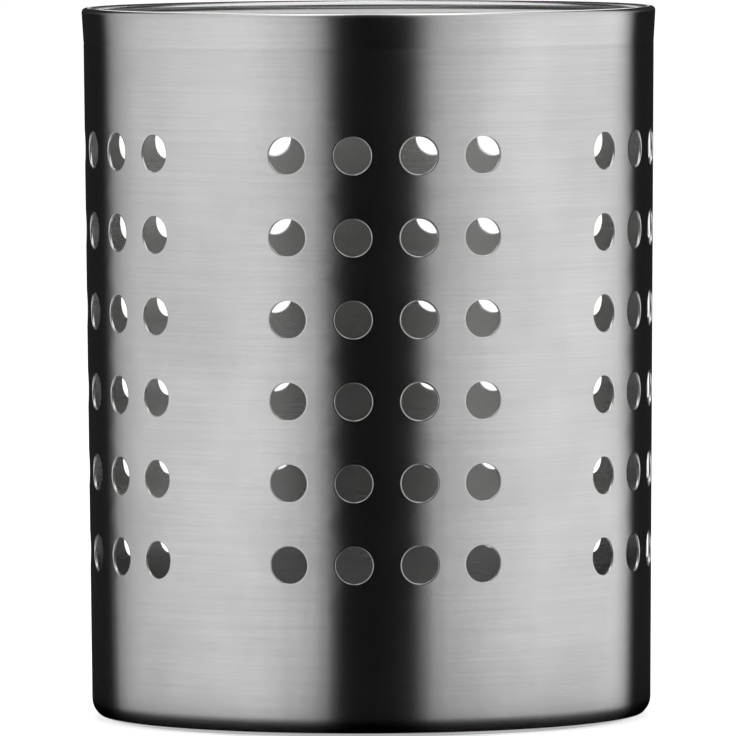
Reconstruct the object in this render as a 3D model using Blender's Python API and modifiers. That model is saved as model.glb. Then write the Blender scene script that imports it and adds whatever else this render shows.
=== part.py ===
"""Cutlery caddy: a punched steel wall with a curled rim, standing on its turned-in foot, and a base pan inside it.

Metres, +Z up. The origin is the middle of the circle that the caddy stands on. -Y is the front, where one group of
holes is centred, and the wall's welded seam is at the back.
"""

import math

import bmesh
import bpy
from mathutils import Matrix

# The wall's outside
HEIGHT = 0.135
RIM_DIAMETER = 0.109
SHOULDER_DIAMETER = 0.1083
FOOT_DIAMETER = 0.1063
FLARE_HEIGHT = 0.0066
CURL_DIAMETER = 0.0017
FOOT_CORNER_RADIUS = 0.0037
FOOT_FLANGE_WIDTH = 0.0055

# The sheet that both pieces are made of, and the space between them
SHEET = 0.0005
FIT_GAP = 0.0003

# The wall's holes, in upright columns that stand in groups round the wall
HOLE_DIAMETER = 0.007
TOP_ROW_DEPTH = 0.0265
BOTTOM_ROW_HEIGHT = 0.03225
ROW_PITCH = 0.01525
COLUMN_PITCH = 0.0124
COLUMNS_PER_GROUP = 4
GROUP_PITCH = 0.067
SEAM_ALLOWANCE = 0.0015

# The base pan, with rings of drain holes
PAN_SKIRT_HEIGHT = 0.009
PANEL_RISE = 0.0012
PANEL_SLOPE_WIDTH = 0.0015
PANEL_RINGS = 2
CHANNEL_RINGS = 1
DRAIN_DIAMETER = 0.007
DRAIN_RING_PITCH = 0.0125
DRAINS_IN_FIRST_RING = 6

# How far a punch runs past each side of the sheet
PUNCH_OVERRUN = 0.002

# How finely round shapes are divided
PAN_STEPS = 72
BLANK_STEPS = 4
HOLE_SIDES = 12
CURL_STEPS = 6
CORNER_STEPS = 3

# The curl turns in over the rim from straight outwards, and stops short of a full turn
CURL_SWEEP = math.radians(250)

# Longest distance over which the points of a turned shape's two ends are merged
MERGE_DISTANCE = 0.00001

WALL_COLOUR = (0.52, 0.52, 0.52, 1.0)
WALL_ROUGHNESS = 0.35
PAN_COLOUR = (0.44, 0.44, 0.45, 1.0)
PAN_ROUGHNESS = 0.4

RIM_RADIUS = RIM_DIAMETER / 2
SHOULDER_RADIUS = SHOULDER_DIAMETER / 2
FOOT_RADIUS = FOOT_DIAMETER / 2
CURL_RADIUS = CURL_DIAMETER / 2
MEAN_RADIUS = (SHOULDER_RADIUS + FOOT_RADIUS) / 2
SHOULDER_HEIGHT = HEIGHT - FLARE_HEIGHT
FLAT_FOOT_RADIUS = FOOT_RADIUS - FOOT_CORNER_RADIUS
PANEL_RADIUS = (PANEL_RINGS + 1 / 2) * DRAIN_RING_PITCH
COLUMN_ANGLE = COLUMN_PITCH / MEAN_RADIUS
GROUP_COUNT = max(1, round(2 * math.pi * MEAN_RADIUS / GROUP_PITCH))
GROUP_ANGLE = (2 * math.pi - SEAM_ALLOWANCE / MEAN_RADIUS) / GROUP_COUNT


def clear_scene():
    for obj in list(bpy.data.objects):
        bpy.data.objects.remove(obj, do_unlink=True)


def new_collection(name):
    collection = bpy.data.collections.new(name)
    bpy.context.scene.collection.children.link(collection)
    return collection


def steel(name, colour, roughness):
    material = bpy.data.materials.new(name)
    material.use_nodes = True
    shader = material.node_tree.nodes["Principled BSDF"]
    shader.inputs["Base Color"].default_value = colour
    shader.inputs["Metallic"].default_value = 1.0
    shader.inputs["Roughness"].default_value = roughness
    material.diffuse_color = colour
    return material


def arc(centre_x, centre_z, radius, start, end, steps):
    """Points from the start angle to the end angle, both measured from +X towards +Z."""
    angles = [start + (end - start) * step / steps for step in range(steps + 1)]
    return [(centre_x + radius * math.cos(a), centre_z + radius * math.sin(a)) for a in angles]


def wall_radius(height):
    """Outer radius of the wall between the foot corner and the shoulder, which narrows slightly downwards."""
    along = (height - FOOT_CORNER_RADIUS) / (SHOULDER_HEIGHT - FOOT_CORNER_RADIUS)
    return FOOT_RADIUS + (SHOULDER_RADIUS - FOOT_RADIUS) * along


def wall_outline():
    """The wall's outer face in section, from the curl's free edge over the rim and down to the foot flange."""
    curl = arc(RIM_RADIUS - CURL_RADIUS, HEIGHT - CURL_RADIUS, CURL_RADIUS, CURL_SWEEP, 0, CURL_STEPS)
    shoulder = [(SHOULDER_RADIUS, SHOULDER_HEIGHT)]
    corner = arc(FLAT_FOOT_RADIUS, FOOT_CORNER_RADIUS, FOOT_CORNER_RADIUS, 0, -math.pi / 2, CORNER_STEPS)
    flange = [(FLAT_FOOT_RADIUS - FOOT_FLANGE_WIDTH, 0)]
    return curl + shoulder + corner + flange


def pan_outline():
    """The pan's outer and lower face in section, from the top of its skirt down to its middle hole."""
    inset = SHEET + FIT_GAP
    skirt = [(wall_radius(PAN_SKIRT_HEIGHT) - inset, PAN_SKIRT_HEIGHT)]
    corner_radius = FOOT_CORNER_RADIUS - inset
    corner = arc(FLAT_FOOT_RADIUS, FOOT_CORNER_RADIUS, corner_radius, 0, -math.pi / 2, CORNER_STEPS)
    slope_foot = [(PANEL_RADIUS + PANEL_SLOPE_WIDTH / 2, inset)]
    slope_top = [(PANEL_RADIUS - PANEL_SLOPE_WIDTH / 2, inset + PANEL_RISE)]
    middle_hole = [(DRAIN_DIAMETER / 2, inset + PANEL_RISE)]
    return skirt + corner + slope_foot + slope_top + middle_hole


def outline_mesh(name, outline):
    """The section's points and the edges between them, at +X."""
    mesh = bpy.data.meshes.new(name)
    points = [(x, 0, z) for x, z in outline]
    edges = [(i, i + 1) for i in range(len(points) - 1)]
    mesh.from_pydata(points, edges, [])
    return mesh


def turn_through(mesh, angles):
    """Turns the section round Z, with a facet from each angle to the next and from the last back to the first."""
    shape = bmesh.new()
    shape.from_mesh(mesh)
    bmesh.ops.rotate(shape, verts=shape.verts, matrix=Matrix.Rotation(angles[0], 3, "Z"))
    turned = list(shape.verts) + list(shape.edges)
    for start, end in zip(angles, angles[1:] + [angles[0] + 2 * math.pi]):
        step = bmesh.ops.spin(shape, geom=turned, axis=(0, 0, 1), angle=end - start, steps=1)
        turned = step["geom_last"]
    bmesh.ops.remove_doubles(shape, verts=shape.verts, dist=MERGE_DISTANCE)
    bmesh.ops.recalc_face_normals(shape, faces=shape.faces)
    shape.to_mesh(mesh)
    shape.free()


def new_piece(name, mesh, material, collection):
    mesh.materials.append(material)
    obj = bpy.data.objects.new(name, mesh)
    collection.objects.link(obj)
    return obj


def turn_evenly(obj, steps):
    screw = obj.modifiers.new("turn", "SCREW")
    screw.axis = "Z"
    screw.steps = steps
    screw.render_steps = steps
    screw.use_merge_vertices = True
    screw.merge_threshold = MERGE_DISTANCE
    screw.use_smooth_shade = True


def make_sheet(obj):
    """Gives the outer face the sheet's thickness, inwards."""
    sheet = obj.modifiers.new("sheet", "SOLIDIFY")
    sheet.thickness = SHEET
    sheet.offset = -1
    sheet.use_even_offset = True


def punches(name, places, diameter, collection):
    """One cutter mesh with a cylinder along each place's own Z axis, its flat sides square to X and Y."""
    mesh = bpy.data.meshes.new(name)
    shapes = bmesh.new()
    half_side = Matrix.Rotation(math.pi / HOLE_SIDES, 4, "Z")
    for place in places:
        bmesh.ops.create_cone(
            shapes,
            cap_ends=True,
            segments=HOLE_SIDES,
            radius1=diameter / 2,
            radius2=diameter / 2,
            depth=SHEET + 2 * PUNCH_OVERRUN,
            matrix=place @ half_side,
        )
    shapes.to_mesh(mesh)
    shapes.free()
    obj = bpy.data.objects.new(name, mesh)
    obj.hide_render = True
    obj.display_type = "WIRE"
    collection.objects.link(obj)
    return obj


def punch_out(obj, cutter):
    cut = obj.modifiers.new("holes", "BOOLEAN")
    cut.operation = "DIFFERENCE"
    cut.solver = "EXACT"
    cut.object = cutter


def group_columns(group):
    """The angles round Z of one group's hole columns, from the front. The seam's allowance is left at the back."""
    middle = (group - (GROUP_COUNT - 1) / 2) * GROUP_ANGLE
    first = middle - (COLUMNS_PER_GROUP - 1) / 2 * COLUMN_ANGLE
    return [first + column * COLUMN_ANGLE for column in range(COLUMNS_PER_GROUP)]


def column_angles():
    return [angle for group in range(GROUP_COUNT) for angle in group_columns(group)]


def facet_angles():
    """Where the wall's facets meet: on each hole column, midway between columns, and evenly over each blank."""
    half = COLUMN_ANGLE / 2
    angles = []
    for group in range(GROUP_COUNT):
        first = group_columns(group)[0] - half
        last = first + COLUMNS_PER_GROUP * COLUMN_ANGLE
        is_last = group == GROUP_COUNT - 1
        next_first = group_columns(0)[0] + 2 * math.pi - half if is_last else first + GROUP_ANGLE
        angles += [first + half * step for step in range(2 * COLUMNS_PER_GROUP + 1)]
        angles += [last + (next_first - last) * step / BLANK_STEPS for step in range(1, BLANK_STEPS)]
    return angles


def row_heights():
    """Each hole row's height, evenly spaced from the bottom row to the top row."""
    span = HEIGHT - TOP_ROW_DEPTH - BOTTOM_ROW_HEIGHT
    gaps = max(1, round(span / ROW_PITCH))
    return [BOTTOM_ROW_HEIGHT + span * gap / gaps for gap in range(gaps + 1)]


def wall_hole_places():
    places = []
    for height in row_heights():
        middle = wall_radius(height) - SHEET / 2
        outwards = Matrix.Translation((0, -middle, height)) @ Matrix.Rotation(math.pi / 2, 4, "X")
        places += [Matrix.Rotation(angle, 4, "Z") @ outwards for angle in column_angles()]
    return places


def drain_places():
    """Rings of drain holes round the middle one, each ring with one more hole in every sixth of a turn."""
    panel_height = SHEET + FIT_GAP + PANEL_RISE + SHEET / 2
    channel_height = panel_height - PANEL_RISE
    places = []
    for ring in range(1, PANEL_RINGS + CHANNEL_RINGS + 1):
        height = panel_height if ring <= PANEL_RINGS else channel_height
        place = Matrix.Translation((0, -ring * DRAIN_RING_PITCH, height))
        count = ring * DRAINS_IN_FIRST_RING
        places += [Matrix.Rotation(2 * math.pi * i / count, 4, "Z") @ place for i in range(count)]
    return places


def make_wall(parts, cutters):
    mesh = outline_mesh("perforated_wall", wall_outline())
    turn_through(mesh, [angle - math.pi / 2 for angle in facet_angles()])
    mesh.shade_smooth()
    wall = new_piece("perforated_wall", mesh, steel("wall_steel", WALL_COLOUR, WALL_ROUGHNESS), parts)
    make_sheet(wall)
    punch_out(wall, punches("wall_punches", wall_hole_places(), HOLE_DIAMETER, cutters))
    return wall


def make_pan(parts, cutters):
    mesh = outline_mesh("base_pan", pan_outline())
    pan = new_piece("base_pan", mesh, steel("pan_steel", PAN_COLOUR, PAN_ROUGHNESS), parts)
    turn_evenly(pan, PAN_STEPS)
    make_sheet(pan)
    punch_out(pan, punches("pan_punches", drain_places(), DRAIN_DIAMETER, cutters))
    return pan


def main():
    clear_scene()
    parts = new_collection("cutlery_caddy")
    cutters = new_collection("cutters")
    root = bpy.data.objects.new("cutlery_caddy_origin", None)
    parts.objects.link(root)
    for piece in (make_wall(parts, cutters), make_pan(parts, cutters)):
        piece.parent = root


main()
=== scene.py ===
"""Cutlery caddy: a punched and brushed steel wall and a pressed base pan, in a plain studio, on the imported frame."""

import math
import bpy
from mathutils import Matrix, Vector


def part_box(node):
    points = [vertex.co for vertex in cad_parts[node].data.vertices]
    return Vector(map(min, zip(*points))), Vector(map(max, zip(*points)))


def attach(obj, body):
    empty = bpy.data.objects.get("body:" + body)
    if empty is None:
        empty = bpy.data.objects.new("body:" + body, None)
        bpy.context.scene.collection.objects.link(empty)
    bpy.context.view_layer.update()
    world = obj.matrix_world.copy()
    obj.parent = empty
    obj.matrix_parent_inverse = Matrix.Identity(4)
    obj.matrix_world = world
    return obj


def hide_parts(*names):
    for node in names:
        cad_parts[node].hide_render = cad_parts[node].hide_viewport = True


bl_info = {
    "name": "Cutlery caddy",
    "version": (1, 0, 0),
    "blender": (4, 5, 0),
    "location": "3D View > Sidebar > Caddy",
    "description": "Builds a round steel cutlery caddy with punched holes",
    "category": "Object",
}

from types import SimpleNamespace

import bpy
from mathutils import Matrix, Vector

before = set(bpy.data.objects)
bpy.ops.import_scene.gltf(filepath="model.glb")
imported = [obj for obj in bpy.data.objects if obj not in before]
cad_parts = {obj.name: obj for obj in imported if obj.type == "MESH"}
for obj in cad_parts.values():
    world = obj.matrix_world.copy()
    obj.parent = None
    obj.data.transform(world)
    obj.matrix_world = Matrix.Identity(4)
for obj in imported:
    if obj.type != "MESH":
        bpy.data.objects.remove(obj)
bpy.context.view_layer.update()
WALL_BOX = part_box("perforated_wall")

# The CAD wall's facets stop a little short of its full circle from side to side, so the narrower side is taken.
RIM_DIAMETER = min(WALL_BOX[1].x - WALL_BOX[0].x, WALL_BOX[1].y - WALL_BOX[0].y)
HEIGHT = WALL_BOX[1].z

MM = 0.001
MICROMETRE = 0.000001

# How finely round shapes are divided. A hole's sides are a multiple of eight, so that its cell has corners.
HOLE_SIDES = 32
CELL_STEPS = HOLE_SIDES // 4
BLANK_STEPS = 12
SEAM_STEPS = 5
WELD_STEPS = 6
PAN_STEPS = 144

# How many steps the stretches of the two sections have, each from the top down
CURL_STEPS = 22
FLARE_STEPS = 5
ABOVE_HOLES_STEPS = 6
BELOW_HOLES_STEPS = 8
CORNER_STEPS = 10
FLANGE_STEPS = 3
SKIRT_STEPS = 3
CHANNEL_STEPS = 2

# How far the rim is curled in, and the sharpest turn that is still shaded as round
CURL_SWEEP = math.radians(250)
ROUND_LIMIT = math.radians(60)

# Points this close together are one, where the cells with holes meet the blank.
MERGE_DISTANCE = 3 * MICROMETRE

# The middle of a rounded edge lies this share of its radius inside each of the two faces.
EDGE_MIDDLE = 1 - math.sqrt(0.5)

# The flat sheet starts this many edge radii from a punched hole, and from the pan's middle hole.
HOLE_SURROUND = 2.5
MIDDLE_HOLE_SURROUND = 4

# Half the width of the crease under the flared top, as a share of that top's height
HALF_CREASE = 0.04


def linear(hex_colour):
    """A linear RGBA colour from an sRGB hex value."""
    parts = [int(hex_colour[i : i + 2], 16) / 255 for i in (1, 3, 5)]
    return [c / 12.92 if c <= 0.04045 else ((c + 0.055) / 1.055) ** 2.4 for c in parts] + [1.0]


def length(name, default, description):
    return bpy.props.FloatProperty(
        name=name, default=default, description=description, subtype="DISTANCE", unit="LENGTH", precision=5
    )


def count(name, default, description):
    return bpy.props.IntProperty(name=name, default=default, min=1, description=description)


def colour(name, default, description):
    return bpy.props.FloatVectorProperty(
        name=name, default=linear(default), description=description, subtype="COLOR", size=4, min=0, max=1
    )


class CaddyWallSizes(bpy.types.PropertyGroup):
    height: length("Height", HEIGHT, "From the worktop to the top of the rim")
    rim_diameter: length("Rim diameter", RIM_DIAMETER, "Across the outside of the curled rim")
    shoulder_diameter: length("Shoulder diameter", 0.10828, "Across the outside just under the flared top")
    foot_diameter: length("Foot diameter", 0.10628, "Across the outside just above the foot corner")
    flare_height: length("Flare height", 0.0066, "How far the flared top reaches down from the rim")
    curl_diameter: length("Curl diameter", 0.0017, "Thickness of the curled rim")
    crease_depth: length("Crease depth", 0.00003, "Depth of the rolled crease under the flared top")
    foot_corner_radius: length("Foot corner radius", 0.0037, "Outer radius of the turned-in foot")
    foot_flange_width: length("Foot flange width", 0.0055, "Width of the flat ring that the caddy stands on")
    sheet: length("Sheet", 0.0005, "Thickness of the steel sheet")
    hole_diameter: length("Hole diameter", 0.007, "Across one punched hole")
    edge_radius: length("Edge radius", 0.00013, "Rounding of the deburred hole edges")
    top_row_depth: length("Top row depth", 0.0265, "From the rim down to the middle of the top row of holes")
    bottom_row_height: length("Bottom row height", 0.03225, "From the worktop to the middle of the bottom row")
    row_pitch: length("Row pitch", 0.01525, "Between the middles of two rows of holes")
    column_pitch: length("Column pitch", 0.0124, "Between two columns of one group, along the wall")
    columns: count("Columns", 4, "Hole columns in one group")
    group_pitch: length("Group pitch", 0.067, "Between the middles of two groups, along the wall")
    seam_allowance: length("Seam allowance", 0.0015, "Extra width of the blank that the seam runs down")
    weld_width: length("Weld width", 0.0009, "Width of the ground-down seam weld")
    weld_height: length("Weld height", 0.00003, "How far the seam weld stands proud")


class CaddyPanSizes(bpy.types.PropertyGroup):
    fit_gap: length("Fit gap", 0.0003, "Space between the pan and the wall")
    skirt_height: length("Skirt height", 0.009, "From the worktop to the top of the pan's skirt")
    panel_rise: length("Panel rise", 0.0012, "How far the middle panel stands above the channel round it")
    panel_slope_width: length("Panel slope width", 0.0015, "Width of the slope round the middle panel")
    panel_rings: count("Panel rings", 2, "Rings of drain holes on the panel")
    channel_rings: count("Channel rings", 1, "Rings of drain holes in the channel")
    first_ring: count("First ring", 6, "Holes in the first ring, and how many more each next ring has")
    drain_diameter: length("Drain diameter", 0.007, "Across one drain hole")
    ring_pitch: length("Ring pitch", 0.0125, "Between two rings of drain holes")
    edge_radius: length("Edge radius", 0.00015, "Rounding of the deburred drain edges")


class CaddyFinish(bpy.types.PropertyGroup):
    brushed: colour("Brushed steel", "#CDCDCD", "Colour of the brushed outside")
    milled: colour("Mill finish", "#C4C4C3", "Colour of the unbrushed inside")
    edge: colour("Sheared edge", "#C9C9C9", "Colour of the cut and deburred edges")
    pan: colour("Pan steel", "#B4B4B6", "Colour of the base pan")
    floor: colour("Floor", "#F4F4F4", "Colour of the studio floor")
    grain: length("Grain", 0.0003, "Width of the brushing lines across the grain")


# Sections and layout


def arc(centre_x, centre_z, radius, start, end, steps):
    """Points from the start angle to the end angle, both measured from +X towards +Z."""
    angles = [start + (end - start) * step / steps for step in range(steps + 1)]
    return [(centre_x + radius * math.cos(a), centre_z + radius * math.sin(a)) for a in angles]


def spread(start, end, steps):
    """Evenly spaced values after start, up to and with end."""
    return [start + (end - start) * step / steps for step in range(1, steps + 1)]


def offset(outline, distance):
    """The outline moved square to itself, to the right of the way that it runs."""
    points = [Vector(point) for point in outline]
    runs = [(end - start).normalized() for start, end in zip(points, points[1:])]
    sides = [Vector((run.y, -run.x)) for run in runs]
    mitres = [a + b for a, b in zip(sides[:1] + sides, sides + sides[-1:])]
    return [tuple(p + m * (2 * distance / m.length_squared)) for p, m in zip(points, mitres)]


def wall_layout(sizes):
    """The wall's derived sizes: its taper, and where its rows, columns and groups of holes stand."""
    made = SimpleNamespace()
    made.shoulder_height = sizes.height - sizes.flare_height
    rise = made.shoulder_height - sizes.foot_corner_radius
    made.taper = (sizes.shoulder_diameter - sizes.foot_diameter) / 2 / rise
    made.radius_at_floor = sizes.foot_diameter / 2 - made.taper * sizes.foot_corner_radius
    made.mean_radius = (sizes.shoulder_diameter + sizes.foot_diameter) / 4
    made.column_angle = sizes.column_pitch / made.mean_radius
    made.groups = max(1, round(2 * math.pi * made.mean_radius / sizes.group_pitch))
    made.group_angle = (2 * math.pi - sizes.seam_allowance / made.mean_radius) / made.groups
    span = sizes.height - sizes.top_row_depth - sizes.bottom_row_height
    made.rows = max(1, round(span / sizes.row_pitch)) + 1
    made.row_pitch = span / (made.rows - 1) if made.rows > 1 else sizes.row_pitch
    made.cells_bottom = sizes.bottom_row_height - made.row_pitch / 2
    made.cells_top = made.cells_bottom + made.rows * made.row_pitch
    return made


def wall_radius(plan, height):
    return plan.radius_at_floor + plan.taper * height


def wall_stations(sizes, plan):
    """(angle, weld height, has holes after it) all round the wall, from the first group's left edge."""
    stations = []
    half_weld = sizes.weld_width / 2 / plan.mean_radius
    for group in range(plan.groups):
        middle = (group - (plan.groups - 1) / 2) * plan.group_angle
        left = middle - sizes.columns / 2 * plan.column_angle
        right = middle + sizes.columns / 2 * plan.column_angle
        cells = sizes.columns * CELL_STEPS
        stations += [(left + plan.column_angle / CELL_STEPS * step, 0, True) for step in range(cells)]
        stations.append((right, 0, False))
        if group < plan.groups - 1:
            stations += [(angle, 0, False) for angle in spread(right, left + plan.group_angle, BLANK_STEPS)[:-1]]
    first = stations[0][0] + 2 * math.pi
    stations += [(angle, 0, False) for angle in spread(right, math.pi - half_weld, SEAM_STEPS)]
    for angle in spread(math.pi - half_weld, math.pi + half_weld, WELD_STEPS):
        share = (angle - math.pi) / half_weld
        stations.append((angle, sizes.weld_height * math.cos(share * math.pi / 2) ** 2, False))
    stations += [(angle, 0, False) for angle in spread(math.pi + half_weld, first, SEAM_STEPS)[:-1]]
    return stations


def wall_section(sizes, plan):
    """The outer face in section: the curled and flared top, the straight wall, and the foot's corner and flange."""
    curl_radius = sizes.curl_diameter / 2
    rim = sizes.rim_diameter / 2
    curl = arc(rim - curl_radius, sizes.height - curl_radius, curl_radius, CURL_SWEEP, 0, CURL_STEPS)
    shoulder = plan.shoulder_height
    flat = sizes.shoulder_diameter / 2
    half_crease = HALF_CREASE * sizes.flare_height
    curl_height = sizes.height - curl_radius
    flare_slope = (rim - flat) / (curl_height - shoulder)
    flare_heights = spread(curl_height, shoulder, FLARE_STEPS)[:-1]
    flare = [(flat + flare_slope * (z - shoulder), z) for z in flare_heights]
    crease = [
        (flat + flare_slope * half_crease, shoulder + half_crease),
        (flat - sizes.crease_depth, shoulder),
        (wall_radius(plan, shoulder - half_crease), shoulder - half_crease),
    ]
    top = curl + flare + crease
    corner_radius = sizes.foot_corner_radius
    heights = spread(shoulder - half_crease, plan.cells_top, ABOVE_HOLES_STEPS)
    heights += spread(plan.cells_top, plan.cells_bottom, plan.rows * CELL_STEPS)
    heights += spread(plan.cells_bottom, corner_radius, BELOW_HOLES_STEPS)
    straight = [(wall_radius(plan, z), z) for z in heights]
    flat_foot = sizes.foot_diameter / 2 - corner_radius
    corner = arc(flat_foot, corner_radius, corner_radius, 0, -math.pi / 2, CORNER_STEPS)[1:]
    flange = [(x, 0) for x in spread(flat_foot, flat_foot - sizes.foot_flange_width, FLANGE_STEPS)]
    return top, straight, corner + flange


def turned_mesh(name, outer, inner, stations, material, edge=range(0), weld=range(0), holes=range(0)):
    """A closed sheet turned round Z from its outer and inner sections, which run the same way.

    The finished edge, the weld and the holes are given as ranges of the outer section's points. The sheet is left
    open where the cells with holes will stand: in the range of the holes, after each station that has holes."""
    section = outer + inner[::-1]
    size = len(section)
    half = len(outer)
    points = []
    for angle, proud, _ in stations:
        for i, (x, z) in enumerate(section):
            radius = x + (proud if i in weld else 0)
            points.append((radius * math.sin(angle), -radius * math.cos(angle), z))
    faces = []
    inside = []
    cut_edge = []
    for turn, (_, _, has_holes) in enumerate(stations):
        near = turn * size
        far = (turn + 1) % len(stations) * size
        for i in range(size):
            start = i if i < half else size - 2 - i
            if has_holes and start in holes:
                continue
            after = (i + 1) % size
            faces.append((near + i, near + after, far + after, far + i))
            inside.append(half <= i < size - 1)
            cut_edge.append(i in edge)
    mesh = bpy.data.meshes.new(name)
    mesh.from_pydata(points, [], faces)
    mesh.materials.append(material)
    mesh.attributes.new("inside", "BOOLEAN", "FACE").data.foreach_set("value", inside)
    mesh.attributes.new("cut_edge", "BOOLEAN", "FACE").data.foreach_set("value", cut_edge)
    return mesh


def square_point(step):
    """Evenly spaced points round a square from -1 to 1, with one at each corner, from the middle of its +X side."""
    waves = [abs((step - shift) % HOLE_SIDES * 4 / HOLE_SIDES - 2) - 1 for shift in (0, HOLE_SIDES / 4)]
    return [max(-1, min(1, 2 * wave)) for wave in waves]


def punched_cell(sizes, plan, material):
    """One hole with the sheet round it, flat: X along the wall, Y into the sheet and Z up, with rounded hole edges."""
    radius = sizes.hole_diameter / 2
    edge = sizes.edge_radius
    lip = EDGE_MIDDLE * edge
    surround = radius + HOLE_SURROUND * edge
    # Each ring is its share of the cell's square outline, its radius and its depth in the sheet.
    face = [(1, surround, 0), (0.5, surround, 0), (0, surround, 0)]
    cut = [(0, radius + edge, 0), (0, radius + lip, lip), (0, radius, edge)]
    rings = face + cut
    rings += [(share, ring_radius, sizes.sheet - depth) for share, ring_radius, depth in rings[::-1]]
    points = []
    for share, ring_radius, depth in rings:
        for step in range(HOLE_SIDES):
            angle = 2 * math.pi * step / HOLE_SIDES
            square_x, square_z = square_point(step)
            x = square_x * sizes.column_pitch / 2 * share + ring_radius * math.cos(angle) * (1 - share)
            z = square_z * plan.row_pitch / 2 * share + ring_radius * math.sin(angle) * (1 - share)
            points.append((x, depth, z))
    faces = []
    for ring in range(len(rings) - 1):
        for step in range(HOLE_SIDES):
            after = (step + 1) % HOLE_SIDES
            near = ring * HOLE_SIDES
            far = near + HOLE_SIDES
            faces.append((near + step, near + after, far + after, far + step))
    mesh = bpy.data.meshes.new("punched_cell")
    mesh.from_pydata(points, [], faces)
    mesh.materials.append(material)
    first_cut = len(face) * HOLE_SIDES
    last_cut = len(faces) - first_cut
    inside = [i >= last_cut for i in range(len(faces))]
    cut_edge = [first_cut <= i < last_cut for i in range(len(faces))]
    mesh.attributes.new("inside", "BOOLEAN", "FACE").data.foreach_set("value", inside)
    mesh.attributes.new("cut_edge", "BOOLEAN", "FACE").data.foreach_set("value", cut_edge)
    return mesh


# Node trees


def add_node(tree, kind, inputs=None, **settings):
    """Adds a node with its settings. An input is a value, a socket, or a node, whose first live output is taken."""
    node = tree.nodes.new(kind)
    for name, value in settings.items():
        setattr(node, name, value)
    for key, value in (inputs or {}).items():
        if isinstance(value, bpy.types.Node):
            value = next(socket for socket in value.outputs if socket.enabled)
        if isinstance(value, bpy.types.NodeSocket):
            tree.links.new(value, node.inputs[key])
        else:
            node.inputs[key].default_value = value
    return node


def new_tree(name, inputs):
    """A geometry node tree with a Geometry input, the named inputs and a Geometry output, and its input node."""
    tree = bpy.data.node_groups.new(name, "GeometryNodeTree")
    tree.interface.new_socket("Geometry", in_out="INPUT", socket_type="NodeSocketGeometry")
    for label, kind in inputs.items():
        tree.interface.new_socket(label, in_out="INPUT", socket_type="NodeSocket" + kind)
    tree.interface.new_socket("Geometry", in_out="OUTPUT", socket_type="NodeSocketGeometry")
    return tree, add_node(tree, "NodeGroupInput")


def finish_tree(tree, geometry, finishes):
    """Ends the tree: the first finish goes everywhere, and each later one where its face attribute says."""
    shaded = add_node(tree, "GeometryNodeSetShadeSmooth", {"Geometry": geometry})
    for attribute, finish in finishes:
        inputs = {"Geometry": shaded, "Material": finish}
        if attribute:
            inputs["Selection"] = add_node(
                tree, "GeometryNodeInputNamedAttribute", {"Name": attribute}, data_type="BOOLEAN"
            )
        shaded = add_node(tree, "GeometryNodeSetMaterial", inputs)
    add_node(tree, "NodeGroupOutput", {"Geometry": shaded})


def perforation_tree():
    """Lays the punched cell out in columns, groups and rows, wraps it round the wall and joins it to the blank."""
    lengths = ("Column pitch", "Group pitch", "Row pitch", "Bottom row height", "Mean radius", "Radius at floor")
    inputs = {name: "Float" for name in lengths + ("Taper", "Merge distance")}
    inputs.update({name: "Int" for name in ("Columns", "Groups", "Rows")})
    inputs.update({"Cell": "Object", "Outside": "Material", "Inside": "Material", "Cut edge": "Material"})
    tree, given = new_tree("Punched holes", inputs)
    sockets = given.outputs
    cell = add_node(tree, "GeometryNodeObjectInfo", {"Object": sockets["Cell"]})
    repeated = cell.outputs["Geometry"]
    for number, pitch in (("Columns", "Column pitch"), ("Groups", "Group pitch")):
        step = add_node(tree, "ShaderNodeCombineXYZ", {"X": sockets[pitch]})
        back = add_node(tree, "ShaderNodeMath", {0: sockets[number], 1: -0.5, 2: 0.5}, operation="MULTIPLY_ADD")
        start = add_node(tree, "ShaderNodeVectorMath", {0: step, "Scale": back}, operation="SCALE")
        line = add_node(
            tree, "GeometryNodeMeshLine", {"Count": sockets[number], "Start Location": start, "Offset": step}
        )
        repeated = add_node(tree, "GeometryNodeInstanceOnPoints", {"Points": line, "Instance": repeated})
    start = add_node(tree, "ShaderNodeCombineXYZ", {"Z": sockets["Bottom row height"]})
    step = add_node(tree, "ShaderNodeCombineXYZ", {"Z": sockets["Row pitch"]})
    line = add_node(tree, "GeometryNodeMeshLine", {"Count": sockets["Rows"], "Start Location": start, "Offset": step})
    repeated = add_node(tree, "GeometryNodeInstanceOnPoints", {"Points": line, "Instance": repeated})
    flat = add_node(tree, "GeometryNodeRealizeInstances", {"Geometry": repeated})
    place = add_node(tree, "ShaderNodeSeparateXYZ", {0: add_node(tree, "GeometryNodeInputPosition")})
    angle = add_node(tree, "ShaderNodeMath", {0: place.outputs["X"], 1: sockets["Mean radius"]}, operation="DIVIDE")
    radius = add_node(
        tree,
        "ShaderNodeMath",
        {0: place.outputs["Z"], 1: sockets["Taper"], 2: sockets["Radius at floor"]},
        operation="MULTIPLY_ADD",
    )
    front = add_node(tree, "ShaderNodeMath", {0: place.outputs["Y"], 1: radius}, operation="SUBTRACT")
    before_turn = add_node(tree, "ShaderNodeCombineXYZ", {"Y": front, "Z": place.outputs["Z"]})
    turned = add_node(
        tree, "ShaderNodeVectorRotate", {"Vector": before_turn, "Angle": angle}, rotation_type="Z_AXIS"
    )
    wrapped = add_node(tree, "GeometryNodeSetPosition", {"Geometry": flat, "Position": turned})
    joined = add_node(tree, "GeometryNodeJoinGeometry", {"Geometry": wrapped})
    tree.links.new(sockets["Geometry"], joined.inputs["Geometry"])
    merged = add_node(
        tree, "GeometryNodeMergeByDistance", {"Geometry": joined, "Distance": sockets["Merge distance"]}
    )
    finishes = [("", sockets["Outside"]), ("inside", sockets["Inside"]), ("cut_edge", sockets["Cut edge"])]
    finish_tree(tree, merged, finishes)
    return tree


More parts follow.
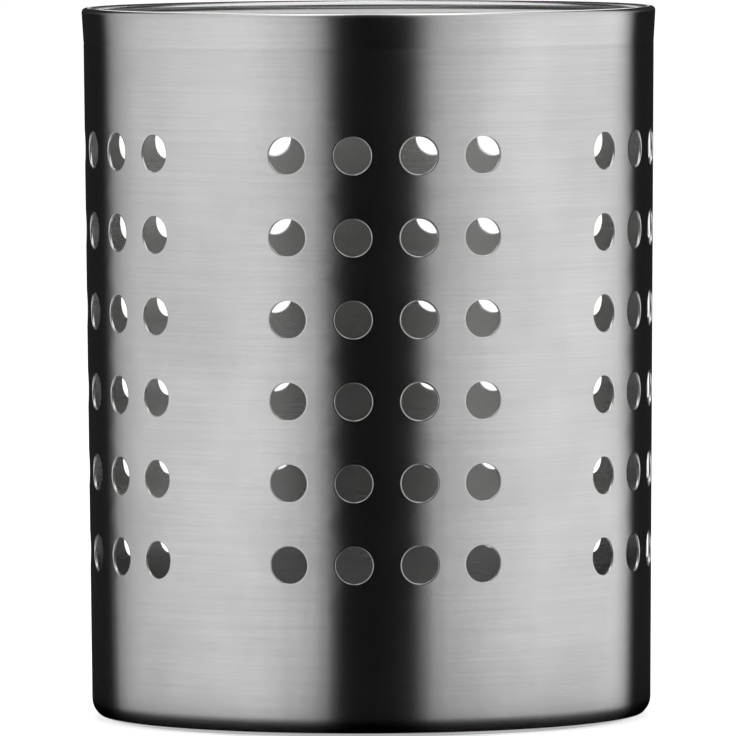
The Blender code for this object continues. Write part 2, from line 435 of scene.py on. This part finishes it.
def run_tree(obj, tree, values):
    """Adds the tree to the object, with its inputs set by identifier."""
    modifier = obj.modifiers.new(tree.name, "NODES")
    modifier.node_group = tree
    sockets = {item.name: item for item in tree.interface.items_tree if item.in_out == "INPUT"}
    for name, value in values.items():
        modifier[sockets[name].identifier] = value


def make_plain(obj):
    """Replaces the object's mesh by its evaluated one, and removes its modifiers."""
    bpy.context.view_layer.update()
    graph = bpy.context.evaluated_depsgraph_get()
    mesh = bpy.data.meshes.new_from_object(obj.evaluated_get(graph), preserve_all_data_layers=True, depsgraph=graph)
    obj.modifiers.clear()
    obj.data = mesh


def refuse_open(obj):
    """Raises if the piece isn't one closed surface."""
    uses = {}
    for face in obj.data.polygons:
        for key in face.edge_keys:
            uses[key] = uses.get(key, 0) + 1
    wrong = sum(1 for number in uses.values() if number != 2)
    if wrong:
        raise RuntimeError(f"{obj.name} has {wrong} edges that don't join two faces")


def new_object(name, mesh):
    obj = bpy.data.objects.new(name, mesh)
    bpy.context.scene.collection.objects.link(obj)
    return obj


def make_wall(sizes, finishes):
    plan = wall_layout(sizes)
    top, straight, foot = wall_section(sizes, plan)
    outer = top + straight + foot
    inner = offset(outer, sizes.sheet)
    for i in range(len(top) - 1, len(top) + len(straight)):
        inner[i] = (outer[i][0] - sizes.sheet, outer[i][1])
    ranges = {"edge": range(CURL_STEPS), "weld": range(len(top), len(top) + len(straight))}
    first_row = len(top) + ABOVE_HOLES_STEPS - 1
    ranges["holes"] = range(first_row, first_row + plan.rows * CELL_STEPS)
    blank = turned_mesh("wall", outer, inner, wall_stations(sizes, plan), finishes["brushed"], **ranges)
    wall = new_object("punched_wall", blank)
    cell = new_object("punched_cell", punched_cell(sizes, plan, finishes["brushed"]))
    values = {
        "Cell": cell,
        "Columns": sizes.columns,
        "Column pitch": sizes.column_pitch,
        "Groups": plan.groups,
        "Group pitch": plan.group_angle * plan.mean_radius,
        "Rows": plan.rows,
        "Row pitch": plan.row_pitch,
        "Bottom row height": sizes.bottom_row_height,
        "Mean radius": plan.mean_radius,
        "Radius at floor": plan.radius_at_floor,
        "Taper": plan.taper,
        "Merge distance": MERGE_DISTANCE,
        "Outside": finishes["brushed"],
        "Inside": finishes["milled"],
        "Cut edge": finishes["edge"],
    }
    run_tree(wall, perforation_tree(), values)
    make_plain(wall)
    bpy.data.objects.remove(cell)
    refuse_open(wall)
    wall.data.set_sharp_from_angle(angle=ROUND_LIMIT)
    return wall


def pan_section(wall_sizes, sizes, plan):
    """The pan's outer and lower face in section, from the top of its skirt down to its middle hole.

    The two bends of the slope between channel and panel are eased by a quarter of its width on each side."""
    inset = wall_sizes.sheet + sizes.fit_gap
    corner = wall_sizes.foot_corner_radius
    flat_foot = wall_sizes.foot_diameter / 2 - corner
    skirt_heights = [sizes.skirt_height] + spread(sizes.skirt_height, corner, SKIRT_STEPS)
    skirt = [(wall_radius(plan, z) - inset, z) for z in skirt_heights]
    turned_in = arc(flat_foot, corner, corner - inset, 0, -math.pi / 2, CORNER_STEPS)[1:]
    panel = (sizes.panel_rings + 1 / 2) * sizes.ring_pitch
    ease = sizes.panel_slope_width / 4
    foot = panel + sizes.panel_slope_width / 2
    head = panel - sizes.panel_slope_width / 2
    bend = ease * sizes.panel_rise / sizes.panel_slope_width
    channel = [(x, inset) for x in spread(flat_foot, foot + ease, CHANNEL_STEPS)]
    slope = [(foot - ease, inset + bend), (head + ease, inset + sizes.panel_rise - bend)]
    top = inset + sizes.panel_rise
    hole = sizes.drain_diameter / 2
    plate = [(head - ease, top), (hole + MIDDLE_HOLE_SURROUND * sizes.edge_radius, top)]
    return skirt + turned_in + channel + slope + plate


def rounded_end(outer_end, inner_end, edge):
    """The sheet's cut end at its middle hole, with rounded edges, as the ends of its outer and its inner section."""
    lip = EDGE_MIDDLE * edge
    hole = outer_end[0]
    low = [(hole + edge, outer_end[1]), (hole + lip, outer_end[1] + lip), (hole, outer_end[1] + edge)]
    high = [(hole + edge, inner_end[1]), (hole + lip, inner_end[1] - lip), (hole, inner_end[1] - edge)]
    return low, high


def drain_punch(sheet, sizes):
    """A punch that also rounds the edges of its hole on both faces of the sheet, standing on its own middle."""
    edge = sizes.edge_radius
    lip = EDGE_MIDDLE * edge
    radius = sizes.drain_diameter / 2
    half = sheet / 2
    above = [(radius, half - edge), (radius + lip, half - lip), (radius + 2 * edge - lip, half + lip)]
    above.append((radius + 2 * edge - lip, half + sheet))
    rings = [(r, -z) for r, z in above[::-1]] + above
    points = []
    for r, z in rings:
        angles = [2 * math.pi * (step + 0.5) / HOLE_SIDES for step in range(HOLE_SIDES)]
        points += [(r * math.cos(angle), r * math.sin(angle), z) for angle in angles]
    faces = [tuple(range(HOLE_SIDES))[::-1]]
    for ring in range(len(rings) - 1):
        near = ring * HOLE_SIDES
        for step in range(HOLE_SIDES):
            after = (step + 1) % HOLE_SIDES
            faces.append((near + step, near + after, near + HOLE_SIDES + after, near + HOLE_SIDES + step))
    faces.append(tuple(range(len(points) - HOLE_SIDES, len(points))))
    mesh = bpy.data.meshes.new("drain_punch")
    mesh.from_pydata(points, [], faces)
    return mesh


def drain_tree(rings):
    """Cuts rings of drain holes, each ring with one first ring's number of holes more than the ring before."""
    inputs = {"First ring": "Int", "Ring pitch": "Float", "Panel height": "Float", "Channel height": "Float"}
    inputs.update({"Panel rings": "Int", "Punch": "Object", "Steel": "Material"})
    tree, given = new_tree("Drain holes", inputs)
    sockets = given.outputs
    punch = add_node(tree, "GeometryNodeObjectInfo", {"Object": sockets["Punch"]}).outputs["Geometry"]
    joined = add_node(tree, "GeometryNodeJoinGeometry")
    for ring in range(1, rings + 1):
        holes = add_node(tree, "ShaderNodeMath", {0: sockets["First ring"], 1: ring}, operation="MULTIPLY")
        radius = add_node(tree, "ShaderNodeMath", {0: sockets["Ring pitch"], 1: ring}, operation="MULTIPLY")
        circle = add_node(tree, "GeometryNodeMeshCircle", {"Vertices": holes, "Radius": radius})
        on_panel = add_node(
            tree,
            "FunctionNodeCompare",
            {2: sockets["Panel rings"], 3: ring},
            data_type="INT",
            operation="GREATER_EQUAL",
        )
        height = add_node(
            tree,
            "GeometryNodeSwitch",
            {"Switch": on_panel, "False": sockets["Channel height"], "True": sockets["Panel height"]},
            input_type="FLOAT",
        )
        lift = add_node(tree, "ShaderNodeCombineXYZ", {"Z": height})
        placed = add_node(
            tree, "GeometryNodeTransform", {"Geometry": circle, "Translation": lift, "Rotation": (0, 0, -math.pi / 2)}
        )
        stood = add_node(tree, "GeometryNodeInstanceOnPoints", {"Points": placed, "Instance": punch})
        tree.links.new(stood.outputs[0], joined.inputs["Geometry"])
    punches = add_node(tree, "GeometryNodeRealizeInstances", {"Geometry": joined})
    cut = add_node(
        tree,
        "GeometryNodeMeshBoolean",
        {"Mesh 1": sockets["Geometry"], "Mesh 2": punches},
        operation="DIFFERENCE",
        solver="EXACT",
    )
    finish_tree(tree, cut.outputs["Mesh"], [("", sockets["Steel"])])
    return tree


def make_pan(wall_sizes, sizes, finishes):
    plan = wall_layout(wall_sizes)
    outer = pan_section(wall_sizes, sizes, plan)
    inner = offset(outer, wall_sizes.sheet)
    hole = sizes.drain_diameter / 2
    low, high = rounded_end((hole, outer[-1][1]), (hole, inner[-1][1]), sizes.edge_radius)
    stations = [(angle, 0, False) for angle in spread(0, 2 * math.pi, PAN_STEPS)]
    blank = turned_mesh("pan", outer + low, inner + high, stations, finishes["pan"])
    pan = new_object("pressed_base_pan", blank)
    punch = new_object("drain_punch", drain_punch(wall_sizes.sheet, sizes))
    # The punches stand on the middle of the pan's sheet, which lies on the wall's flange with a gap.
    channel = wall_sizes.sheet * 1.5 + sizes.fit_gap
    values = {
        "First ring": sizes.first_ring,
        "Ring pitch": sizes.ring_pitch,
        "Panel height": channel + sizes.panel_rise,
        "Channel height": channel,
        "Panel rings": sizes.panel_rings,
        "Punch": punch,
        "Steel": finishes["pan"],
    }
    run_tree(pan, drain_tree(sizes.panel_rings + sizes.channel_rings), values)
    normals = pan.modifiers.new("flat faces stay flat", "WEIGHTED_NORMAL")
    normals.keep_sharp = True
    make_plain(pan)
    bpy.data.objects.remove(punch)
    refuse_open(pan)
    return pan


# Finishes

# The lines that brushing and rolling leave are mostly under 0.1 mm wide, too fine to show from where the camera
# stands, so each finish draws them as coarse as they need to show, from 0.3 to 1.5 mm wide.

# The values that a noise mostly keeps to, as they drive the colour and the roughness
COLOUR_NOISE = (0.3, 0.7)
ROUGHNESS_NOISE = (0.25, 0.75)

# What a cloud of full strength adds to the roughness: handled sheet is a little smoother there.
CLOUD_ROUGHNESS = -0.08

# The brushed finish has coarser lines among its fine ones: how many times as wide, and their share.
COARSE_GRAIN = 5
COARSE_SHARE = 0.35


def new_material(name):
    material = bpy.data.materials.new(name)
    material.use_nodes = True
    material.node_tree.nodes.clear()
    return material, material.node_tree


def streaks(tree, along, across, width, reach, seed):
    """Noise drawn out along one coordinate, as lines this wide and this long, both in metres."""
    place = add_node(tree, "ShaderNodeCombineXYZ", {"X": along, "Y": across, "Z": 0.0})
    scaled = add_node(
        tree,
        "ShaderNodeMapping",
        {"Vector": place, "Location": (seed, seed, 0), "Scale": (1 / reach, 1 / width, 1)},
    )
    return add_node(
        tree, "ShaderNodeTexNoise", {"Vector": scaled, "Scale": 1.0, "Detail": 2.0}, noise_dimensions="2D"
    )


def blotches(tree, place, size, seed):
    """Soft noise whose features are this large, in metres."""
    moved = add_node(tree, "ShaderNodeMapping", {"Vector": place, "Location": (seed, seed, seed)})
    return add_node(tree, "ShaderNodeTexNoise", {"Vector": moved, "Scale": 1 / size, "Detail": 3.0})


def finish_steel(tree, base, grain, cloud, darkest, roughness, relief, settings=None):
    """Joins the grain and the cloudy variation into a metal: its colour, its roughness and a relief this deep.

    The darkest shares of the base colour are given for the grain and for the cloud, and the roughness as its middle
    and what the grain adds or takes."""
    ranges = [(grain, COLOUR_NOISE, (darkest[0], 1.0)), (cloud, COLOUR_NOISE, (darkest[1], 1.0))]
    ranges.append((grain, ROUGHNESS_NOISE, (roughness[0] - roughness[1], roughness[0] + roughness[1])))
    mapped = []
    for value, (low, high), (to_low, to_high) in ranges:
        limits = {"Value": value, "From Min": low, "From Max": high, "To Min": to_low, "To Max": to_high}
        mapped.append(add_node(tree, "ShaderNodeMapRange", limits))
    both = add_node(tree, "ShaderNodeMath", {0: mapped[0], 1: mapped[1]}, operation="MULTIPLY")
    tinted = add_node(tree, "ShaderNodeVectorMath", {0: base[:3], "Scale": both}, operation="SCALE")
    smudged = add_node(
        tree, "ShaderNodeMath", {0: cloud, 1: CLOUD_ROUGHNESS, 2: mapped[2]}, operation="MULTIPLY_ADD"
    )
    bump = add_node(tree, "ShaderNodeBump", {"Strength": 1.0, "Distance": relief, "Height": grain})
    inputs = {"Base Color": tinted, "Metallic": 1.0, "Roughness": smudged, "Normal": bump}
    inputs.update(settings or {})
    shader = add_node(tree, "ShaderNodeBsdfPrincipled", inputs)
    add_node(tree, "ShaderNodeOutputMaterial", {"Surface": shader})


def unrolled(tree, place, radius):
    """The way round the wall in metres from the front, and the height. It jumps only at the seam weld."""
    parts = add_node(tree, "ShaderNodeSeparateXYZ", {0: place})
    behind = add_node(tree, "ShaderNodeMath", {0: parts.outputs["Y"], 1: -1.0}, operation="MULTIPLY")
    angle = add_node(tree, "ShaderNodeMath", {0: parts.outputs["X"], 1: behind}, operation="ARCTAN2")
    along = add_node(tree, "ShaderNodeMath", {0: angle, 1: radius}, operation="MULTIPLY")
    return along, parts.outputs["Z"]


def brushed_steel(finish, radius):
    """Stainless steel sheet, belt-brushed round the wall: fine level lines, and light drawn out up and down.

    The lines' real width is some 0.05 mm. The brushing turns with the wall, so the light is drawn out across it."""
    material, tree = new_material("brushed_stainless_steel")
    place = add_node(tree, "ShaderNodeTexCoord").outputs["Object"]
    along, height = unrolled(tree, place, radius)
    fine = streaks(tree, along, height, width=finish.grain, reach=30 * MM, seed=3.0)
    coarse = streaks(tree, along, height, width=finish.grain * COARSE_GRAIN, reach=60 * MM, seed=11.0)
    grain = add_node(tree, "ShaderNodeMix", {0: COARSE_SHARE, 2: fine, 3: coarse}, data_type="FLOAT")
    cloud = blotches(tree, place, size=22 * MM, seed=5.0)
    tangent = add_node(tree, "ShaderNodeTangent", direction_type="RADIAL", axis="Z")
    quarter_turn = 0.25
    settings = {"Anisotropic": 1.0, "Anisotropic Rotation": quarter_turn, "Tangent": tangent}
    finish_steel(
        tree,
        finish.brushed,
        grain,
        cloud,
        darkest=(0.90, 0.88),
        roughness=(0.29, 0.01),
        relief=0.4 * MICROMETRE,
        settings=settings,
    )
    return material


def mill_finish_steel(finish, radius):
    """The same sheet unbrushed inside, as it left the rolls: a soft grey sheen with faint rolling lines."""
    material, tree = new_material("mill_finish_stainless_steel")
    place = add_node(tree, "ShaderNodeTexCoord").outputs["Object"]
    along, height = unrolled(tree, place, radius)
    grain = streaks(tree, along, height, width=0.8 * MM, reach=20 * MM, seed=7.0)
    cloud = blotches(tree, place, size=18 * MM, seed=2.0)
    look = {"darkest": (0.96, 0.95), "roughness": (0.30, 0.01), "relief": 0.15 * MICROMETRE}
    finish_steel(tree, finish.milled, grain, cloud, **look)
    return material


def sheared_steel(finish):
    """Punched and deburred edges: brighter, finely scuffed metal that glints round each hole."""
    material, tree = new_material("deburred_steel_edge")
    place = add_node(tree, "ShaderNodeTexCoord").outputs["Object"]
    grain = blotches(tree, place, size=0.4 * MM, seed=4.0)
    cloud = blotches(tree, place, size=12 * MM, seed=9.0)
    look = {"darkest": (0.97, 0.95), "roughness": (0.26, 0.03), "relief": 0.3 * MICROMETRE}
    finish_steel(tree, finish.edge, grain, cloud, **look)
    return material


def satin_steel(finish):
    """The pressed pan: satin sheet with straight rolling lines from side to side, which spreads light softly."""
    material, tree = new_material("satin_stainless_steel")
    place = add_node(tree, "ShaderNodeTexCoord").outputs["Object"]
    parts = add_node(tree, "ShaderNodeSeparateXYZ", {0: place})
    grain = streaks(tree, parts.outputs["X"], parts.outputs["Y"], width=0.6 * MM, reach=25 * MM, seed=6.0)
    cloud = blotches(tree, place, size=20 * MM, seed=8.0)
    look = {"darkest": (0.92, 0.92), "roughness": (0.46, 0.04), "relief": 1.5 * MICROMETRE}
    finish_steel(tree, finish.pan, grain, cloud, **look)
    return material


# Studio

# The camera that the photograph was taken with, found from the holes and the outline, in metres and degrees, with the
# lens in millimetres
CAMERA_DISTANCE = 2.328
CAMERA_AZIMUTH = -3.3
CAMERA_ELEVATION = 3.02
CAMERA_ROLL = -0.25
CAMERA_LENS = 598.8
CAMERA_TARGET = (-0.00038, 0, 0.06625)

# Flags: black cards that the wall mirrors, as (angle of the wall point from the camera in degrees, share covered).
# The left and right ones are the dark bands at the wall's sides, and the front one is the dark core.
FRONT_FLAG = ((-26, 0), (-14.3, 0.32), (-10.8, 0.56), (-8.3, 0.9), (-6.9, 0.98), (-6, 1), (8.1, 1), (9.1, 0.98))
FRONT_FLAG += ((10.2, 0.88), (12.7, 0.55), (15.7, 0.38), (28, 0.08), (36, 0))
LEFT_FLAG = ((-90, 0.985), (-69, 0.985), (-67, 0.94), (-64.5, 0.6), (-61, 0.42), (-55, 0.22), (-42, 0.13), (-20, 0))
RIGHT_FLAG = ((58, 0), (62, 0.16), (65.5, 0.6), (67.5, 0.93), (69, 0.985), (90, 0.985))

# How far round to the right the front flag reaches overhead, as a share of how far it does on the floor
FRONT_LEAN = 0.86

# From the rim's circle to where the flags start, and how far they reach out and up, in metres
FLAG_GAP = 0.001
FLAG_LENGTH = 1.6
FLAG_HEIGHT = 1.2

# Painted shadow: the dark ring on the floor under and round the foot, which only the steel mirrors,
# as (metres outside the rim, share covered)
FOOT_SHADE = ((-0.004, 1), (0.005, 1), (0.010, 0.35), (0.04, 0.18), (0.3, 0))

# Painted light and painted shade: the glowing hood over the mouth and the dark band at its back, which only the steel
# mirrors, as (angle from the camera in degrees, share covered). The hood stands inside the rim's circle and the band
# inside the hood, and their heights are over the rim, in metres.
ALL_ROUND = ((-180, 1), (180, 1))
HOOD_GLOW = 1.4
HOOD_INSET = 0.0026
HOOD_GAP = 0.0015
HOOD_HEIGHT = 0.12
HOOD_BAND = ((140, 0), (150, 1), (210, 1), (220, 0))
HOOD_BAND_INSET = 0.0003
HOOD_BAND_HEIGHT = 0.11

# The widest step in degrees along a card, and how high in metres the lowest card lies over the floor
CARD_STEP = 5
CLEARANCE = 0.0004

# The floor's reach to each side, and the softbox, almost straight overhead, in metres and degrees
FLOOR_REACH = 6
SOFTBOX_ELEVATION = 88
SOFTBOX_DISTANCE = 1.6
SOFTBOX_SIZE = 1.5


def towards(azimuth, elevation=0):
    """Unit vector from the caddy at this azimuth from the front, towards +X, and elevation, both in degrees."""
    a, e = math.radians(azimuth), math.radians(elevation)
    return Vector((math.sin(a) * math.cos(e), -math.cos(a) * math.cos(e), math.sin(e)))


def seen_as_background(tree):
    """1 for camera, glossy and transmission rays, which all show the white background, and 0 for the rest."""
    path = add_node(tree, "ShaderNodeLightPath").outputs
    seen = path["Is Camera Ray"]
    for other in ("Is Glossy Ray", "Is Transmission Ray"):
        seen = add_node(tree, "ShaderNodeMath", {0: seen, 1: path[other]}, operation="MAXIMUM")
    return seen


def make_world(ambient):
    world = bpy.data.worlds.new("studio")
    bpy.context.scene.world = world
    world.use_nodes = True
    tree = world.node_tree
    tree.nodes.clear()
    strength = add_node(
        tree, "ShaderNodeMapRange", {"Value": seen_as_background(tree), "To Min": ambient, "To Max": 1.0}
    )
    background = add_node(tree, "ShaderNodeBackground", {"Color": (1, 1, 1, 1), "Strength": strength})
    add_node(tree, "ShaderNodeOutputWorld", {"Surface": background})


def matt_paper(name, paper, lift):
    """Matt studio paper. The lift is light of its own that only makes it show as white background."""
    material, tree = new_material(name)
    surface = add_node(tree, "ShaderNodeBsdfDiffuse", {"Color": paper})
    strength = add_node(tree, "ShaderNodeMath", {0: seen_as_background(tree), 1: lift}, operation="MULTIPLY")
    glow = add_node(tree, "ShaderNodeEmission", {"Color": (1, 1, 1, 1), "Strength": strength})
    both = add_node(tree, "ShaderNodeAddShader", {0: surface, 1: glow})
    add_node(tree, "ShaderNodeOutputMaterial", {"Surface": both})
    return material


def card(name, brightness):
    """A black or an evenly glowing card, shown on its front alone, which fades out where its cover falls to 0."""
    material, tree = new_material(name)
    share = add_node(tree, "ShaderNodeAttribute", attribute_name="cover").outputs["Fac"]
    behind = add_node(tree, "ShaderNodeNewGeometry").outputs["Backfacing"]
    in_front = add_node(tree, "ShaderNodeMath", {0: 1.0, 1: behind}, operation="SUBTRACT")
    cover = add_node(tree, "ShaderNodeMath", {0: share, 1: in_front}, operation="MULTIPLY")
    clear = add_node(tree, "ShaderNodeBsdfTransparent")
    surface = add_node(tree, "ShaderNodeEmission", {"Color": (1, 1, 1, 1), "Strength": brightness})
    mixed = add_node(tree, "ShaderNodeMixShader", {0: cover, 1: clear, 2: surface})
    add_node(tree, "ShaderNodeOutputMaterial", {"Surface": mixed})
    return material


def stage_mesh(name, points, faces, material):
    mesh = bpy.data.meshes.new(name)
    mesh.from_pydata([tuple(point) for point in points], [], faces)
    mesh.materials.append(material)
    obj = new_object(name, mesh)
    return obj


def refined(profile):
    """The profile with points added between its own, so that no two are further apart than one step."""
    made = [profile[0]]
    for (angle, cover), (next_angle, next_cover) in zip(profile, profile[1:]):
        steps = math.ceil((next_angle - angle) / CARD_STEP)
        made += zip(spread(angle, next_angle, steps), spread(cover, next_cover, steps))
    return made


def make_card(name, profile, lines, material):
    """A card through the line of (point, cover) pairs that lines gives for each of the profile's angles.

    Only glossy rays see it, so it is mirrored in the steel but lights and shades nothing else."""
    made = [[(point, cover * share) for point, share in lines(angle)] for angle, cover in refined(profile)]
    across = len(made[0])
    faces = []
    for line_start in range(0, across * (len(made) - 1), across):
        for corner in range(line_start, line_start + across - 1):
            faces.append((corner, corner + 1, corner + across + 1, corner + across))
    obj = stage_mesh(name, [point for line in made for point, _ in line], faces, material)
    covers = [cover for line in made for _, cover in line]
    obj.data.attributes.new("cover", "FLOAT", "POINT").data.foreach_set("value", covers)
    obj.visible_camera = False
    obj.visible_diffuse = False
    obj.visible_shadow = False


def mirrored_line(near, lean=1.0):
    """Out along the floor on the line of sight that the wall mirrors at an angle, then up, and back overhead.

    Overhead, a flag reaches this share as far round to the right as it does on the floor."""

    def line(angle):
        start = towards(CAMERA_AZIMUTH + angle) * near + Vector((0, 0, CLEARANCE))
        end = start + towards(CAMERA_AZIMUTH + 2 * angle) * FLAG_LENGTH
        if angle > 0:
            angle *= lean
        over_start = towards(CAMERA_AZIMUTH + angle) * near + Vector((0, 0, FLAG_HEIGHT))
        over_end = over_start + towards(CAMERA_AZIMUTH + 2 * angle) * FLAG_LENGTH
        return [(start, 1), (end, 1), (over_end, 1), (over_start, 1)]

    return line


def rings(*places):
    """Through (radius, height, cover) places, at the same angle round the axis."""

    def line(angle):
        out = towards(CAMERA_AZIMUTH + angle)
        return [(out * radius + Vector((0, 0, height)), cover) for radius, height, cover in places]

    return line


def make_camera():
    data = bpy.data.cameras.new("camera")
    data.lens = CAMERA_LENS
    data.sensor_width = 36
    data.clip_start = 0.1
    data.clip_end = 100
    camera = new_object("camera", data)
    out = towards(CAMERA_AZIMUTH, CAMERA_ELEVATION)
    camera.rotation_mode = "QUATERNION"
    camera.location = Vector(CAMERA_TARGET) + out * CAMERA_DISTANCE
    roll = Matrix.Rotation(math.radians(CAMERA_ROLL), 3, "Z").to_quaternion()
    camera.rotation_quaternion = (-out).to_track_quat("-Z", "Y") @ roll
    bpy.context.scene.camera = camera


def make_softbox(power):
    data = bpy.data.lights.new("overhead_softbox", "AREA")
    data.shape = "SQUARE"
    data.size = SOFTBOX_SIZE
    data.energy = power
    light = new_object("overhead_softbox", data)
    out = towards(0, SOFTBOX_ELEVATION)
    light.location = out * SOFTBOX_DISTANCE + Vector((0, 0, HEIGHT / 2))
    light.rotation_mode = "QUATERNION"
    light.rotation_quaternion = (-out).to_track_quat("-Z", "Y")
    light.visible_camera = False


class CaddyStudio(bpy.types.PropertyGroup):
    ambient: bpy.props.FloatProperty(
        name="Ambient", default=0.62, min=0, description="Strength of the soft light from all round"
    )
    floor_lift: bpy.props.FloatProperty(
        name="Floor lift", default=0.55, min=0, description="Light of its own that makes the floor show as white"
    )
    softbox_power: bpy.props.FloatProperty(
        name="Softbox power", default=9.0, min=0, unit="POWER", description="Power of the softbox overhead"
    )


def make_studio(finish, studio):
    make_world(studio.ambient)
    paper = matt_paper("pale_floor_paper", finish.floor, studio.floor_lift)
    corners = [(-FLOOR_REACH, -FLOOR_REACH), (FLOOR_REACH, -FLOOR_REACH), (FLOOR_REACH, FLOOR_REACH)]
    corners.append((-FLOOR_REACH, FLOOR_REACH))
    stage_mesh("floor", [(x, y, 0) for x, y in corners], [(0, 1, 2, 3)], paper)
    black = card("black_card", 0)
    rim = RIM_DIAMETER / 2
    beside_wall = mirrored_line(rim + FLAG_GAP)
    make_card("front_flag", FRONT_FLAG, mirrored_line(rim + FLAG_GAP, FRONT_LEAN), black)
    make_card("left_flag", LEFT_FLAG, beside_wall, black)
    make_card("right_flag", RIGHT_FLAG, beside_wall, black)
    # Painted shadow round the foot: a black ring that only the steel mirrors
    round_foot = rings(*((rim + outside, 2 * CLEARANCE, cover) for outside, cover in FOOT_SHADE))
    make_card("foot_shade", ALL_ROUND, round_foot, black)
    # Painted light and painted shade over the mouth: a glowing card and a black band that only the steel mirrors
    hood = rim - HOOD_INSET
    bottom, top = HEIGHT + HOOD_GAP, HEIGHT + HOOD_HEIGHT
    over_mouth = rings((hood, bottom, 1), (hood, top, 1), (0, top, 1))
    make_card("mouth_glow", ALL_ROUND, over_mouth, card("mouth_glow", HOOD_GLOW))
    band = hood - HOOD_BAND_INSET
    make_card("mouth_shade", HOOD_BAND, rings((band, bottom, 1), (band, HEIGHT + HOOD_BAND_HEIGHT, 1)), black)
    make_softbox(studio.softbox_power)
    make_camera()
    view = bpy.context.scene.view_settings
    view.view_transform = "Standard"


# The add-on


class CADDY_OT_wall(bpy.types.Operator):
    """Make the punched wall, with its curled rim and turned-in foot"""

    bl_idname = "caddy.wall"
    bl_label = "Punched wall"

    def execute(self, context):
        scene = context.scene
        sizes = scene.caddy_wall
        radius = wall_layout(sizes).mean_radius
        finishes = {
            "brushed": brushed_steel(scene.caddy_finish, radius),
            "milled": mill_finish_steel(scene.caddy_finish, radius),
            "edge": sheared_steel(scene.caddy_finish),
        }
        wall = make_wall(sizes, finishes)
        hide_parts("perforated_wall")
        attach(wall, "root")
        return {"FINISHED"}


class CADDY_OT_pan(bpy.types.Operator):
    """Make the pressed base pan, with its drain holes"""

    bl_idname = "caddy.pan"
    bl_label = "Base pan"

    def execute(self, context):
        scene = context.scene
        pan = make_pan(scene.caddy_wall, scene.caddy_pan, {"pan": satin_steel(scene.caddy_finish)})
        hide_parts("base_pan")
        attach(pan, "root")
        return {"FINISHED"}


class CADDY_OT_studio(bpy.types.Operator):
    """Make the floor, the light and the camera"""

    bl_idname = "caddy.studio"
    bl_label = "Studio"

    def execute(self, context):
        make_studio(context.scene.caddy_finish, context.scene.caddy_studio)
        return {"FINISHED"}


class CADDY_PT_sidebar(bpy.types.Panel):
    bl_idname = "CADDY_PT_sidebar"
    bl_label = "Cutlery caddy"
    bl_space_type = "VIEW_3D"
    bl_region_type = "UI"
    bl_category = "Caddy"

    def draw(self, context):
        for operator in OPERATORS:
            self.layout.operator(operator.bl_idname)
        for group, kind in GROUPS.items():
            for name in kind.__annotations__:
                self.layout.prop(getattr(context.scene, group), name)


OPERATORS = (CADDY_OT_wall, CADDY_OT_pan, CADDY_OT_studio)
GROUPS = {
    "caddy_wall": CaddyWallSizes,
    "caddy_pan": CaddyPanSizes,
    "caddy_finish": CaddyFinish,
    "caddy_studio": CaddyStudio,
}


def register():
    for group, kind in GROUPS.items():
        bpy.utils.register_class(kind)
        setattr(bpy.types.Scene, group, bpy.props.PointerProperty(type=kind))
    for kind in OPERATORS + (CADDY_PT_sidebar,):
        bpy.utils.register_class(kind)


def unregister():
    for kind in (CADDY_PT_sidebar,) + OPERATORS[::-1]:
        bpy.utils.unregister_class(kind)
    for group, kind in GROUPS.items():
        delattr(bpy.types.Scene, group)
        bpy.utils.unregister_class(kind)


def main():
    register()
    bpy.ops.caddy.wall()
    bpy.ops.caddy.pan()
    bpy.ops.caddy.studio()


if __name__ == "__main__":
    main()
